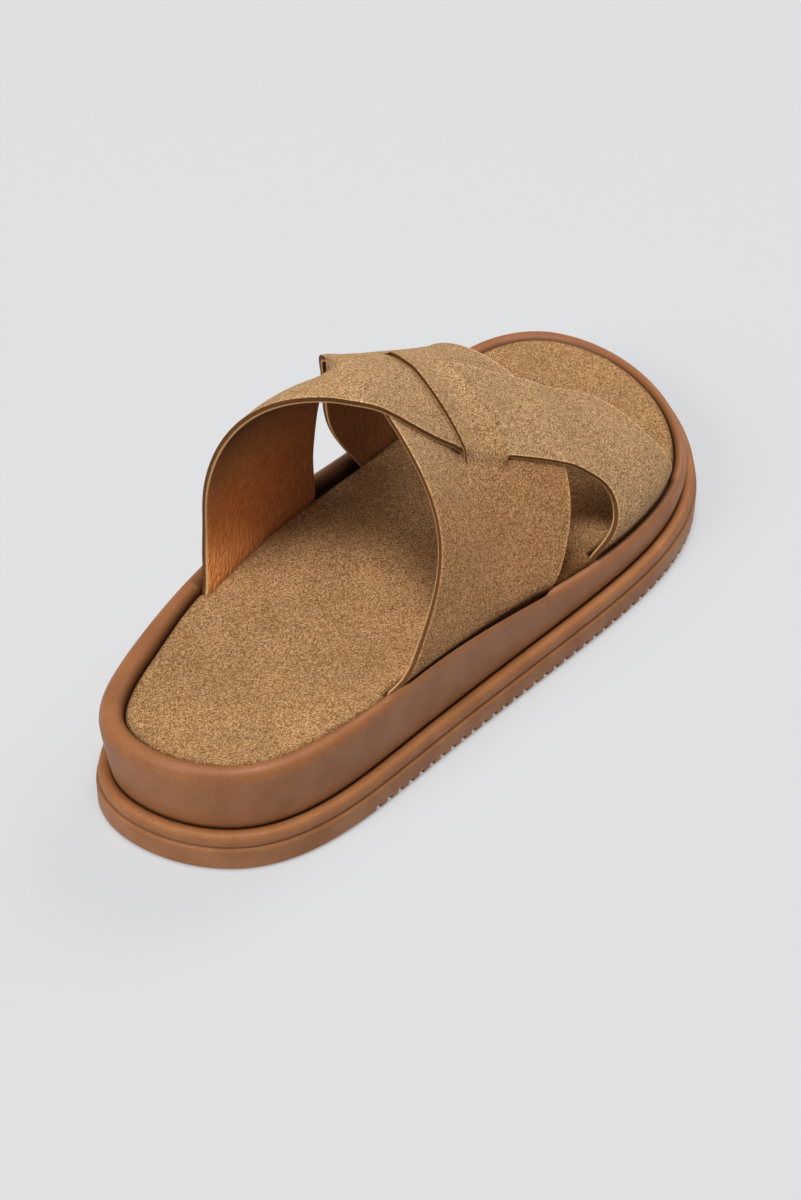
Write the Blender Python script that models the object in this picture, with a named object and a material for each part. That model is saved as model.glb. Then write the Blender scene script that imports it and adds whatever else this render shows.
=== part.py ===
"""Slide sandal for the right foot: two interwoven suede straps on a footbed set in a cup sole.

Units inside the functions are millimetres, with the toe along +Y, the outer side of the foot
along +X and the floor at zero. The finished meshes are in metres.
"""
import math

import bmesh
import bpy
import numpy as np

MM = 0.001

# Driving sizes
LENGTH = 270.0
BALL_WIDTH = 113.0
HEEL_HEIGHT = 38.0
TOE_HEIGHT = 25.0
TOE_SPRING = 5.0
INSTEP_HEIGHT = 75.0
STRAP_THICKNESS = 2.2
GAP = 0.3

# Sole build-up
SPRING_START = 0.648 * LENGTH
DROP_START = 0.315 * LENGTH
DROP_RUN = 0.389 * LENGTH
MEDIAL_LAG = 15.0
MEDIAL_REACH = 36.0
OUTSOLE_TOP = 13.2
CUP_DEPTH_HEEL = 7.6
CUP_DEPTH_TOE = 3.8
RIM_FACE = 4.3
MEDIAL_FLARE = 2.2
LIP_INSET = 8.7
HEEL_LIP = 1.7
HEEL_LIP_END = 70.0
FOOTBED_DIP = 2.5
FOOTBED_RISE = 2.6
HEEL_HOLLOW = 2.0
FOREFOOT_CROWN = 1.2
ARCH_SUPPORT = 2.5

# Notches along the lower edge of the outsole
NOTCH_PITCH = 5.0
NOTCH_WIDTH = 2.2
NOTCH_DEPTH = 2.2
NOTCH_HEIGHT = 2.3
NOTCH_START = 0.215 * LENGTH

# Strap arch
FOOT_INSET = 9.5
FOOT_LIFT = 0.6
MEDIAL_BULGE = 5.7
LATERAL_BULGE = 3.8
BULGE_RISE = 14.0
RIDGE_SHIFT = -13.4
SQUARENESS = {"medial": (2.08, 0.83), "lateral": (2.28, -1.02)}
SQUARE_AT = 0.519 * LENGTH
SQUARE_REACH = 37.0
SHOULDER_REACH = 13.0
SHOULDER_TURNS = (0.26, 0.36)
SWELL_END = 0.12
BOND = 0.6
RAMP = 0.2
SLITS = (0.363, 0.613)
SLIT_STEP = 0.01
BAND_LIFT = 2.4
BUCKLE_LIFT = 2.5
BUCKLE_TURN = 0.33
BUCKLE_SPAN = 0.04
BUCKLE_REACH = 0.15
POCKET_SINK = 5.0
POCKET_REACH = 4.0

# Mesh counts
RING_COUNT = 80
STRAP_ROWS = 44
LEG_ROWS = 9

# Outline of the outsole: shares of the ball width and of the length, heel back first,
# along the outer side to the toe and back along the inner side
OUTLINE = (
    # across, along
    (0.000, 0.000),
    (0.250, 0.047),
    (0.380, 0.146),
    (0.427, 0.296),
    (0.469, 0.472),
    (0.511, 0.653),
    (0.484, 0.819),
    (0.285, 0.941),
    (-0.047, 1.000),
    (-0.351, 0.969),
    (-0.489, 0.859),
    (-0.465, 0.700),
    (-0.439, 0.517),
    (-0.422, 0.323),
    (-0.360, 0.144),
    (-0.230, 0.024),
)

# Height of the strap arch along the foot: shares of the length and of the instep height
ARCH = (
    # along, height
    (0.259, 1.007),
    (0.389, 0.993),
    (0.519, 0.867),
    (0.648, 0.700),
    (0.778, 0.500),
)

# Strap edges as shares of the length at each turn over the foot, from the inner side at 0
# to the outer side at 1, and how far the straps swell past the arch in millimetres
STRAP_EDGES = (
    # turn, over rear, over front, under rear, under front, swell
    (0.00, 0.261, 0.483, 0.592, 0.819, 1.1),
    (0.15, 0.296, 0.508, 0.552, 0.762, 0.3),
    (0.30, 0.294, 0.498, 0.530, 0.724, -0.3),
    (0.38, 0.313, 0.508, 0.504, 0.713, 0.8),
    (0.50, 0.396, 0.618, 0.463, 0.704, 2.0),
    (0.60, 0.510, 0.700, 0.441, 0.695, 0.6),
    (0.70, 0.604, 0.773, 0.412, 0.667, -0.4),
    (0.85, 0.690, 0.811, 0.336, 0.611, -0.9),
    (1.00, 0.632, 0.828, 0.263, 0.547, 1.3),
)

# Outsole side: a bevelled band with a step up to a rounded bead and a groove behind it
OUTSOLE_PROFILE = (
    # inset, level
    (0.9, 0.0),
    (0.0, 0.9),
    (0.0, 8.5),
    (1.1, 9.1),
    (0.9, 11.2),
    (1.2, 12.9),
    (2.3, 13.7),
    (3.8, 13.7),
    (5.4, 13.2),
)

# Cup wall: insets with heights above its underside, then the rolled rim below its crest,
# as shares of the way from the outer face of the rim to its inner lip
WALL_PROFILE = (
    # inset, rise
    (5.7, 0.0),
    (5.0, 1.0),
    (4.6, 3.0),
)
RIM_PROFILE = (
    # share, fall
    (0.0, 3.2),
    (0.07, 1.6),
    (0.25, 0.5),
    (0.54, 0.0),
    (0.82, 0.6),
    (1.0, 2.8),
)

# Footbed edge: insets past the cup wall and depths below its top edge
FOOTBED_PROFILE = (
    # inset, fall
    (0.0, 1.3),
    (0.5, 0.4),
    (1.7, 0.0),
)
FOOTBED_COLUMNS = (0.84, 0.55, 0.25, -0.05, -0.35, -0.62, -0.86)


def ease(share):
    """Smooth step from 0 to 1."""
    share = np.clip(share, 0.0, 1.0)
    return share * share * (3.0 - 2.0 * share)


def spline(knots, values, at):
    """Cubic curve through values at knots, closed round a loop where there is one knot more than values."""
    values = np.asarray(values, float)
    steps = np.diff(knots)
    count = len(values)
    spans = len(steps)
    matrix = np.zeros((count, count))
    right = np.zeros_like(values)
    for span in range(spans):
        first, second = span, (span + 1) % count
        slope = 3.0 * (values[second] - values[first]) / steps[span] ** 2
        for row, other in ((first, second), (second, first)):
            matrix[row, row] += 2.0 / steps[span]
            matrix[row, other] += 1.0 / steps[span]
            right[row] += slope
    tangents = np.linalg.solve(matrix, right)
    span = np.clip(np.searchsorted(knots, at, side="right") - 1, 0, spans - 1)
    step = steps[span]
    share = (at - np.asarray(knots)[span]) / step
    following = (span + 1) % count
    if values.ndim > 1:
        share, step = share[..., None], step[..., None]
    rest = 1.0 - share
    near = rest * rest * ((1.0 + 2.0 * share) * values[span] + share * step * tangents[span])
    far = share * share * ((3.0 - 2.0 * share) * values[following] - rest * step * tangents[following])
    return near + far


def outline(count):
    """Outline points round the outsole, heel first, toe tip half way."""
    points = np.array(OUTLINE) * (BALL_WIDTH, LENGTH)
    chords = np.linalg.norm(np.roll(points, -1, axis=0) - points, axis=1)
    knots = np.concatenate([[0.0], np.cumsum(np.sqrt(chords))])
    toe = knots[len(points) // 2]
    half = count // 2
    sides = [np.linspace(0.0, toe, half, endpoint=False), np.linspace(toe, knots[-1], half, endpoint=False)]
    return spline(knots, points, np.concatenate(sides))


def inward(loop):
    """Unit directions into the loop at each of its points."""
    along = np.roll(loop, -1, axis=0) - np.roll(loop, 1, axis=0)
    along /= np.linalg.norm(along, axis=1)[:, None]
    return np.stack([-along[:, 1], along[:, 0]], axis=1)


LOOP = outline(RING_COUNT)
INWARD = inward(LOOP)
CENTRE = np.array([*(LOOP.min(axis=0) + LOOP.max(axis=0)) / 2.0, 0.0])


def inset_loop(inset):
    """Outline moved into the sole by one distance, or by a distance for each point."""
    return LOOP + INWARD * np.reshape(inset, (-1, 1))


def spring(along):
    """Rise of the sole toward the toe."""
    share = np.clip((along - SPRING_START) / (LENGTH - SPRING_START), 0.0, 1.0)
    return TOE_SPRING * share ** 2


def medial(across):
    """Share from the outer side at 0 to the inner side at 1."""
    return 0.5 - 0.5 * np.clip(across / MEDIAL_REACH, -1.0, 1.0)


def drop(along, inner):
    """Share of the fall from heel height to toe height."""
    return ease((along - DROP_START - MEDIAL_LAG * inner) / DROP_RUN)


def rim_height(along, inner):
    """Height of the rim crest."""
    return HEEL_HEIGHT - (HEEL_HEIGHT - TOE_HEIGHT) * drop(along, inner)


def cup_floor(along, inner):
    """Height of the floor of the cup that holds the footbed."""
    depth = CUP_DEPTH_HEEL + (CUP_DEPTH_TOE - CUP_DEPTH_HEEL) * drop(along, inner)
    return rim_height(along, inner) - depth


def footbed_edge(along, inner):
    """Height of the upper edge of the footbed."""
    return rim_height(along, inner) - FOOTBED_DIP + FOOTBED_RISE * drop(along, inner)


def ring(inset, height):
    """Loop at an inset, lifted by a height that is a function of along and inner share."""
    loop = inset_loop(inset)
    return np.column_stack([loop, height(loop[:, 1], medial(loop[:, 0]))])


def footbed_crown(side, along):
    """Lift of the footbed between its edges: a heel hollow, an arch support and a full forefoot."""
    forward = ease((along / LENGTH - 0.25) / 0.45)
    bow = (1.0 - side ** 2) * (FOREFOOT_CROWN * forward - HEEL_HOLLOW * (1.0 - forward))
    support = np.exp(-((along / LENGTH - 0.42) / 0.15) ** 2) * ease(-side / 0.6) * ease((1.0 + side) / 0.4)
    return bow + ARCH_SUPPORT * support


FOOT_LOOP = inset_loop(FOOT_INSET)
HALF = RING_COUNT // 2


def foot_lines(along):
    """Positions across the sole where the straps go down, inner side then outer side."""
    outer = FOOT_LOOP[: HALF + 1]
    inner = np.roll(FOOT_LOOP, -HALF, axis=0)[: HALF + 1][::-1]
    return np.interp(along, inner[:, 1], inner[:, 0]), np.interp(along, outer[:, 1], outer[:, 0])


def swell(turn):
    """How far both straps stand off the arch, fading out at their ends."""
    table = np.array(STRAP_EDGES)
    return spline(table[:, 0], table[:, 5], turn) * ease(turn / SWELL_END) * ease((1.0 - turn) / SWELL_END)


def arch_point(along, turn, lift, squared):
    """Point on the strap arch: a squared oval over the foot, leaning inward, raised by a lift."""
    angle = math.pi * turn
    cosine, sine = np.cos(angle), np.sin(angle)
    inner = 0.5 + 0.5 * cosine
    on_inner = cosine > 0.0
    table = np.array(ARCH)
    lift = lift + swell(turn)
    height = spline(table[:, 0] * LENGTH, table[:, 1] * INSTEP_HEIGHT, along) + lift
    inner_line, outer_line = foot_lines(along)
    middle = (inner_line + outer_line) / 2.0
    bulge = np.where(on_inner, MEDIAL_BULGE, LATERAL_BULGE)
    reach = (outer_line - inner_line) / 2.0 + bulge + lift
    behind = on_inner & (along < SQUARE_AT)
    near = np.exp(-((along - SQUARE_AT) / np.where(behind, SHOULDER_REACH, SQUARE_REACH)) ** 2)
    power = np.where(on_inner, SQUARENESS["medial"][0] + SQUARENESS["medial"][1] * near * squared,
                     SQUARENESS["lateral"][0] + SQUARENESS["lateral"][1] * near)
    radius = ((np.abs(cosine) / reach) ** power + (np.abs(sine) / height) ** power) ** (-1.0 / power)
    rise = radius * sine
    tuck = np.exp(-(rise / BULGE_RISE) ** 2) * np.where(on_inner, bulge, -bulge)
    across = middle - radius * cosine + tuck + RIDGE_SHIFT * (rise / height) ** 2
    base = cup_floor(along, inner) + FOOT_LIFT
    return np.stack([across, along + 0.0 * rise, base + rise], axis=-1)


def strap_edges(strap, turn):
    """Rear and front edge of a strap along the foot at each turn."""
    table = np.array(STRAP_EDGES)
    first = 1 if strap == "over" else 3
    rear = spline(table[:, 0], table[:, first] * LENGTH, turn)
    front = spline(table[:, 0], table[:, first + 1] * LENGTH, turn)
    return rear, front


def strap_share(strap, turn, along):
    """Share across a strap, 0 at its rear edge and 1 at its front edge."""
    rear, front = strap_edges(strap, turn)
    return (along - rear) / (front - rear)


def within(share):
    """One inside a strap, falling to zero a little way past either edge."""
    return ease((share + RAMP) / RAMP) * ease((1.0 + RAMP - share) / RAMP)


def squareness_share(strap, turn):
    """How squared the shoulder is: fully, except on the inner leg of the over strap."""
    if strap == "under":
        return 1.0
    start, end = SHOULDER_TURNS
    return ease((turn - start) / (end - start))


def buckle(turn, share):
    """Bump where the rear edge of the under strap buckles upward."""
    return BUCKLE_LIFT * np.exp(-((turn - BUCKLE_TURN) / BUCKLE_SPAN) ** 2 - (share / BUCKLE_REACH) ** 2)


def over_lift(turn, along, share):
    """The over strap lies on the under strap where they cross."""
    place = strap_share("under", turn, along)
    return (STRAP_THICKNESS - BOND + buckle(turn, place)) * within(place)


def under_lift(turn, along, share):
    """The under strap rises between its two slits to pass back over the over strap."""
    band = (share > SLITS[0]) & (share < SLITS[1])
    return BAND_LIFT * band * within(strap_share("over", turn, along)) + buckle(turn, share)


def flat_lift(turn, along, share):
    """No lift."""
    return 0.0 * along


def strap_layers(strap, turns, columns, lift, inner, outer, margin=0.0, sink=None):
    """Inner and outer grids of a strap, its edges widened by a margin and one end row sunk."""
    turn, share = np.meshgrid(turns, columns, indexing="ij")
    rear, front = strap_edges(strap, turn)
    along = rear - margin + (front - rear + 2.0 * margin) * share
    raised = lift(turn, along, share)
    squared = squareness_share(strap, turn)
    layers = []
    for depth in (inner, outer):
        points = arch_point(along, turn, raised + depth, squared)
        if sink is not None:
            points[sink, :, 2] -= POCKET_SINK
        layers.append(points)
    return layers


def finish(name, bm, material, collection):
    """Object from a bmesh in millimetres, faces outward, moved to the centre of the sole."""
    bmesh.ops.recalc_face_normals(bm, faces=bm.faces[:])
    bmesh.ops.translate(bm, verts=bm.verts[:], vec=tuple(-CENTRE))
    bmesh.ops.scale(bm, verts=bm.verts[:], vec=(MM, MM, MM))
    mesh = bpy.data.meshes.new(name)
    bm.to_mesh(mesh)
    bm.free()
    thing = bpy.data.objects.new(name, mesh)
    collection.objects.link(thing)
    if material is not None:
        mesh.materials.append(material)
    return thing


def cap(bm, verts, columns, crown):
    """Close a ring by rows of faces from the outer side to the inner side."""
    count = len(verts)
    half = count // 2
    rows = [[verts[0]]]
    for index in range(1, half):
        start, end = verts[index], verts[count - index]
        row = [start]
        for side in columns:
            point = start.co.lerp(end.co, 0.5 - 0.5 * side)
            point.z += crown(side, point.y)
            row.append(bm.verts.new(point))
        rows.append(row + [end])
    rows.append([verts[half]])
    for row, following in zip(rows, rows[1:]):
        for place in range(max(len(row), len(following)) - 1):
            last, end = len(row) - 1, len(following) - 1
            corners = [row[min(place, last)], row[min(place + 1, last)],
                       following[min(place + 1, end)], following[min(place, end)]]
            bm.faces.new(list(dict.fromkeys(corners)))


def ringed_body(name, rings, material, collection, columns=(), crown=None):
    """Closed body of rings joined in turn, capped below by strips and above by a crowned grid."""
    bm = bmesh.new()
    loops = [[bm.verts.new(point) for point in points] for points in rings]
    count = len(loops[0])
    for lower, upper in zip(loops, loops[1:]):
        for index in range(count):
            after = (index + 1) % count
            bm.faces.new((lower[index], lower[after], upper[after], upper[index]))
    cap(bm, loops[0], (), None)
    cap(bm, loops[-1], columns, crown)
    return finish(name, bm, material, collection)


def strap_body(name, layers, material, collection):
    """Closed sheet between an inner and an outer grid."""
    bm = bmesh.new()
    grids = [[[bm.verts.new(point) for point in row] for row in layer] for layer in layers]
    rows, columns = len(grids[0]), len(grids[0][0])
    for grid in grids:
        for row in range(rows - 1):
            for column in range(columns - 1):
                bm.faces.new((grid[row][column], grid[row][column + 1],
                              grid[row + 1][column + 1], grid[row + 1][column]))
    border = [(row, 0) for row in range(rows)] + [(rows - 1, column) for column in range(1, columns)]
    border += [(row, columns - 1) for row in range(rows - 2, -1, -1)]
    border += [(0, column) for column in range(columns - 2, 0, -1)]
    for here, after in zip(border, border[1:] + border[:1]):
        bm.faces.new((grids[0][here[0]][here[1]], grids[0][after[0]][after[1]],
                      grids[1][after[0]][after[1]], grids[1][here[0]][here[1]]))
    return finish(name, bm, material, collection)


def boolean(target, tool, operation):
    """Exact Boolean of the target with a tool object."""
    step = target.modifiers.new(tool.name, "BOOLEAN")
    step.operation = operation
    step.solver = "EXACT"
    step.object = tool


def as_tool(thing):
    """Mark a helper object as not part of the finished sandal."""
    thing.hide_render = True
    thing.display_type = "WIRE"
    return thing


def notch_cutters(collection):
    """Row of small blocks along the lower edge, from the outer waist round the toe to the inner waist."""
    fine = outline(RING_COUNT * 20)
    inside = inward(fine)
    steps = np.linalg.norm(np.diff(fine, axis=0), axis=1)
    run = np.concatenate([[0.0], np.cumsum(steps)])
    forward = np.flatnonzero(fine[:, 1] > NOTCH_START)
    stations = np.arange(run[forward[0]], run[forward[-1]], NOTCH_PITCH)
    bm = bmesh.new()
    for station in stations:
        index = int(np.argmin(np.abs(run - station)))
        place, turn = fine[index], inside[index]
        made = bmesh.ops.create_cube(bm, size=1.0)["verts"]
        low = spring(place[1]) - NOTCH_HEIGHT
        for vert in made:
            sideways = vert.co.x * NOTCH_WIDTH
            depth = NOTCH_DEPTH if vert.co.y > 0.0 else -NOTCH_DEPTH
            level = low + (2.0 * NOTCH_HEIGHT if vert.co.z > 0.0 else 0.0)
            vert.co = (place[0] + turn[0] * depth - turn[1] * sideways,
                       place[1] + turn[1] * depth + turn[0] * sideways, level)
    return as_tool(finish("edge notches", bm, None, collection))


def material(name, colour, roughness):
    """Plain material for one sub-part."""
    made = bpy.data.materials.new(name)
    made.use_nodes = True
    shader = made.node_tree.nodes["Principled BSDF"]
    shader.inputs["Base Color"].default_value = (*colour, 1.0)
    shader.inputs["Roughness"].default_value = roughness
    return made


def build():
    """All sub-parts of the sandal."""
    for thing in list(bpy.data.objects):
        bpy.data.objects.remove(thing, do_unlink=True)
    parts = bpy.data.collections.new("leather slide sandal")
    tools = bpy.data.collections.new("cutting tools")
    for group in (parts, tools):
        bpy.context.scene.collection.children.link(group)
    brown_rubber = material("brown rubber", (0.27, 0.12, 0.05), 0.55)
    cup_rubber = material("cup rubber", (0.25, 0.115, 0.06), 0.5)
    footbed_suede = material("footbed suede", (0.40, 0.24, 0.11), 0.95)
    strap_suede = material("strap suede", (0.43, 0.27, 0.13), 0.95)

    rings = [ring(inset, lambda along, inner, level=level: level + spring(along))
             for inset, level in OUTSOLE_PROFILE]
    outsole = ringed_body("outsole", rings, brown_rubber, parts)
    boolean(outsole, notch_cutters(tools), "DIFFERENCE")

    base = OUTSOLE_TOP + GAP
    rings = [ring(inset, lambda along, inner, rise=rise: base + rise + spring(along))
             for inset, rise in WALL_PROFILE]
    lip = LIP_INSET + HEEL_LIP * (1.0 - ease((2.0 * LOOP[:, 1] - HEEL_LIP_END) / HEEL_LIP_END))
    face = RIM_FACE - MEDIAL_FLARE * medial(LOOP[:, 0]) ** 2
    rings += [ring(face + (lip - face) * share,
                   lambda along, inner, fall=fall: rim_height(along, inner) - fall)
              for share, fall in RIM_PROFILE]
    rings.append(ring(lip, cup_floor))
    ringed_body("midsole", rings, cup_rubber, parts)

    side = lip + GAP
    rings = [ring(side, lambda along, inner: cup_floor(along, inner) + GAP)]
    rings += [ring(side + inset, lambda along, inner, fall=fall: footbed_edge(along, inner) - fall)
              for inset, fall in FOOTBED_PROFILE]
    insole = ringed_body("insole", rings, footbed_suede, parts, FOOTBED_COLUMNS, footbed_crown)

    turns = np.linspace(0.0, 1.0, STRAP_ROWS + 1)
    over_columns = np.linspace(0.0, 1.0, 9)
    first, second = SLITS
    under_columns = np.concatenate([
        np.linspace(0.0, first - SLIT_STEP, 4),
        np.linspace(first + SLIT_STEP, second - SLIT_STEP, 3),
        np.linspace(second + SLIT_STEP, 1.0, 4)])
    layers = strap_layers("over", turns, over_columns, over_lift, -STRAP_THICKNESS, 0.0)
    upper = strap_body("upper", layers, strap_suede, parts)
    layers = strap_layers("under", turns, under_columns, under_lift, -STRAP_THICKNESS, 0.0)
    under = as_tool(strap_body("under strap", layers, strap_suede, tools))
    boolean(upper, under, "UNION")

    legs = {"inner": (np.concatenate([turns[:1], turns[:LEG_ROWS]]), 0),
            "outer": (np.concatenate([turns[-LEG_ROWS:], turns[-1:]]), -1)}
    for strap, columns in (("over", over_columns), ("under", under_columns)):
        for side, (leg, sink) in legs.items():
            layers = strap_layers(strap, leg, columns, flat_lift,
                                  -STRAP_THICKNESS - GAP, POCKET_REACH, GAP, sink)
            pocket = strap_body(f"{strap} strap {side} pocket", layers, None, tools)
            boolean(insole, as_tool(pocket), "DIFFERENCE")


build()
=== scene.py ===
"""Looks of the slide sandal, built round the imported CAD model.

Shapes are worked out in millimetres from the back of the heel, with the toe along +Y, the outer
side of the foot along +X and the floor at zero. They are then moved to the CAD frame in metres.
"""
import math

import bmesh
import bpy
import numpy as np
from mathutils import Matrix


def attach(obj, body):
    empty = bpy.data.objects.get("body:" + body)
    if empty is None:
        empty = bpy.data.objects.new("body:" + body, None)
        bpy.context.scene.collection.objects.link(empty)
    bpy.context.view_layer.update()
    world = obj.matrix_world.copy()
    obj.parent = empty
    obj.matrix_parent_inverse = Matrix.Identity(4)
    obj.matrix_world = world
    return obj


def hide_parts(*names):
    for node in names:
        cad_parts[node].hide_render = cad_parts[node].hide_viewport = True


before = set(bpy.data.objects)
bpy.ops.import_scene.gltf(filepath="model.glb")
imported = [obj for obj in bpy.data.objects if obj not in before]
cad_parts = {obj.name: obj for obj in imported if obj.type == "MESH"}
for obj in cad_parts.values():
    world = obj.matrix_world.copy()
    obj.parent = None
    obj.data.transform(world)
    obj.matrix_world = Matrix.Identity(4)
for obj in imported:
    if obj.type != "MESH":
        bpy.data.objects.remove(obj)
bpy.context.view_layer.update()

MM = 0.001

# Points nearer than this, in metres, are merged
MERGE_DISTANCE = 1e-7

# Driving sizes, in millimetres or as shares, as in the part's source
LENGTH = 270.0
BALL_WIDTH = 113.0
HEEL_HEIGHT = 38.0
TOE_HEIGHT = 25.0
TOE_SPRING = 5.0
INSTEP_HEIGHT = 75.0
STRAP_THICKNESS = 2.2
GAP = 0.3
SPRING_START = 0.648 * LENGTH
DROP_START = 0.315 * LENGTH
DROP_RUN = 0.389 * LENGTH
MEDIAL_LAG = 15.0
MEDIAL_REACH = 36.0
OUTSOLE_TOP = 13.2
CUP_DEPTH_HEEL = 7.6
CUP_DEPTH_TOE = 3.8
FOOTBED_DIP = 2.5
FOOTBED_RISE = 2.6
HEEL_HOLLOW = 2.0
FOREFOOT_CROWN = 1.2
ARCH_SUPPORT = 2.5
NOTCH_PITCH = 5.0
NOTCH_START = 0.215 * LENGTH
FOOT_INSET = 9.5
FOOT_LIFT = 0.6
MEDIAL_BULGE = 5.7
LATERAL_BULGE = 3.8
RIDGE_SHIFT = -13.4
SQUARENESS = {"medial": (2.08, 0.83), "lateral": (2.28, -1.02)}
SQUARE_AT = 0.519 * LENGTH
SQUARE_REACH = 37.0
SHOULDER_REACH = 13.0
SWELL_END = 0.12
SLITS = (0.363, 0.613)

# Height over which a strap foot swells to its full bulge: in millimetres on the inner side, and as
# shares of the cup's depth on the outer side, for the pressed rear foot and, past the change, for
# the free front foot
MEDIAL_BULGE_RISE = 14.0
LATERAL_BULGE_SHARES = (0.8, 2.0)
LATERAL_BULGE_CHANGE = (150.0, 170.0)

# Relief of the footbed: the crown's start and run and the arch support's middle and reach as
# shares of the length, and how the support fades to the midline and to the inner edge
CROWN_START = 0.25
CROWN_RUN = 0.45
SUPPORT_AT = 0.42
SUPPORT_REACH = 0.15
SUPPORT_INWARD = 0.6
SUPPORT_EDGE = 0.4

# Stations round the loops, and steps across them and along the straps
OUTLINE_STATIONS = 80
FINE_STATIONS = 6400
CUP_STATIONS = 720
FOOTBED_STATIONS = 960
SOLE_COLUMNS = 8
FOOTBED_COLUMNS = 60
FOOTBED_BASE_COLUMNS = 4
RIM_STEPS = 4
STRAP_ROWS = 261
OVER_COLUMNS = 49
UNDER_COLUMNS = (20, 16, 20)

# Outline of the outsole: shares of the ball width and of the length, heel back first,
# along the outer side to the toe and back along the inner side
OUTLINE = (
    # across, along
    (0.000, 0.000),
    (0.250, 0.047),
    (0.380, 0.146),
    (0.427, 0.296),
    (0.469, 0.472),
    (0.511, 0.653),
    (0.484, 0.819),
    (0.285, 0.941),
    (-0.047, 1.000),
    (-0.351, 0.969),
    (-0.489, 0.859),
    (-0.465, 0.700),
    (-0.439, 0.517),
    (-0.422, 0.323),
    (-0.360, 0.144),
    (-0.230, 0.024),
)

# Height of the strap arch along the foot: shares of the length and of the instep height
ARCH = (
    # along, height
    (0.259, 1.007),
    (0.389, 0.993),
    (0.519, 0.867),
    (0.648, 0.700),
    (0.778, 0.500),
)

# Strap edges as shares of the length at each turn over the foot, from the inner side at 0
# to the outer side at 1, and how far the straps swell past the arch in millimetres
STRAP_EDGES = (
    # turn, over rear, over front, under rear, under front, swell
    (0.00, 0.261, 0.483, 0.592, 0.819, 1.1),
    (0.15, 0.296, 0.508, 0.552, 0.762, 0.3),
    (0.30, 0.294, 0.498, 0.530, 0.724, -0.3),
    (0.38, 0.313, 0.508, 0.504, 0.713, 0.8),
    (0.50, 0.396, 0.618, 0.463, 0.704, 2.0),
    (0.60, 0.510, 0.700, 0.441, 0.695, 0.6),
    (0.70, 0.604, 0.773, 0.412, 0.667, -0.4),
    (0.85, 0.690, 0.811, 0.336, 0.611, -0.9),
    (1.00, 0.632, 0.828, 0.263, 0.530, 1.3),
)

# Side of the outsole from the tread recess up to the groove under the cup, plain and at a notch
OUTSOLE_SIDE = (
    # inset, level, inset at a notch, level at a notch
    (8.9, 1.2, 8.9, 1.2),
    (8.3, 0.2, 8.3, 0.2),
    (8.0, 0.0, 8.0, 0.0),
    (2.4, 0.0, 2.4, 0.0),
    (2.1, 0.0, 2.2, 0.05),
    (1.5, 0.0, 2.2, 0.7),
    (0.9, 0.0, 2.2, 1.4),
    (0.35, 0.3, 2.2, 1.95),
    (0.0, 0.9, 2.1, 2.25),
    (0.0, 1.6, 1.1, 2.3),
    (0.0, 2.15, 0.15, 2.3),
    (0.0, 2.5, 0.0, 2.5),
    (0.0, 4.6, 0.0, 4.6),
    (0.0, 6.6, 0.0, 6.6),
    (0.0, 7.7, 0.0, 7.7),
    (0.08, 8.2, 0.08, 8.2),
    (0.28, 8.62, 0.28, 8.62),
    (0.6, 8.9, 0.6, 8.9),
    (0.95, 9.02, 0.95, 9.02),
    (1.12, 9.2, 1.12, 9.2),
    (1.02, 9.5, 1.02, 9.5),
    (0.9, 10.2, 0.9, 10.2),
    (0.86, 11.2, 0.86, 11.2),
    (0.95, 12.2, 0.95, 12.2),
    (1.2, 12.9, 1.2, 12.9),
    (1.62, 13.42, 1.62, 13.42),
    (2.2, 13.75, 2.2, 13.75),
    (2.9, 13.86, 2.9, 13.86),
    (3.7, 13.78, 3.7, 13.78),
    (4.4, 13.55, 4.4, 13.55),
    (4.95, 13.28, 4.95, 13.28),
    (5.4, 13.1, 5.4, 13.1),
    (6.4, 13.05, 6.4, 13.05),
)

# Steps along the edge from each notch's middle toward the next, half the width of a notch, and the
# count of steps on either side of the plain heel
NOTCH_STEPS = (-1.16, -1.04, -0.35, 0.35, 1.04, 1.16, 1.85, 2.5, 3.15)
NOTCH_HALF = 1.1
HEEL_STEPS = 64

# Painted shade of the outsole: dark lines in the groove above its band and on the ledge under the cup
GROOVE_LEVEL = 9.2
GROOVE_REACH = 0.35
GROOVE_INSET = 0.5
GROOVE_SHADE = 0.6
LEDGE_INSET = 4.2
LEDGE_FADE = 1.0

# Tread bars: where they start and stop along the sole, their pitch, the length and height of
# their waves, and their section
TREAD_SPAN = (16.0, 256.0)
TREAD_PITCH = 7.5
TREAD_WAVE = 24.0
TREAD_SWAY = 1.5
TREAD_INSET = 8.3
TREAD_STEPS = 61
TREAD_SECTION = (
    # along, level
    (-2.3, 1.3),
    (-1.9, 0.0),
    (1.9, 0.0),
    (2.3, 1.3),
)

# Cup wall: insets with heights above its underside, then the rolled rim below its crest,
# as shares of the way from the outer face of the rim to its inner lip
CUP_WALL = (
    # inset, rise
    (6.6, 0.0),
    (5.6, 0.1),
    (5.15, 0.6),
    (4.9, 1.5),
    (4.7, 3.0),
)
CUP_RIM = (
    # share, fall
    (0.0, 4.6),
    (0.05, 2.9),
    (0.14, 1.5),
    (0.28, 0.55),
    (0.48, 0.04),
    (0.68, 0.12),
    (0.85, 0.75),
    (0.95, 1.7),
    (1.0, 3.2),
)
CUP_FLOOR_DROP = 0.1

# Insets of the rim's outer face and inner lip, the face standing out on the inner side of the foot
# and the lip wider round the heel
RIM_FACE = 4.3
MEDIAL_FLARE = 2.2
LIP_INSET = 8.7
HEEL_LIP = 1.7
HEEL_LIP_END = 70.0

# Rim pressed in beside the rear outer strap foot: by how much, and its side and stretch as in STRAP_FEET
LIP_PRESS = 2.0
PRESS_STRETCH = (1, 80.0, 141.0)
PRESS_FADE = 8.0
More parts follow.
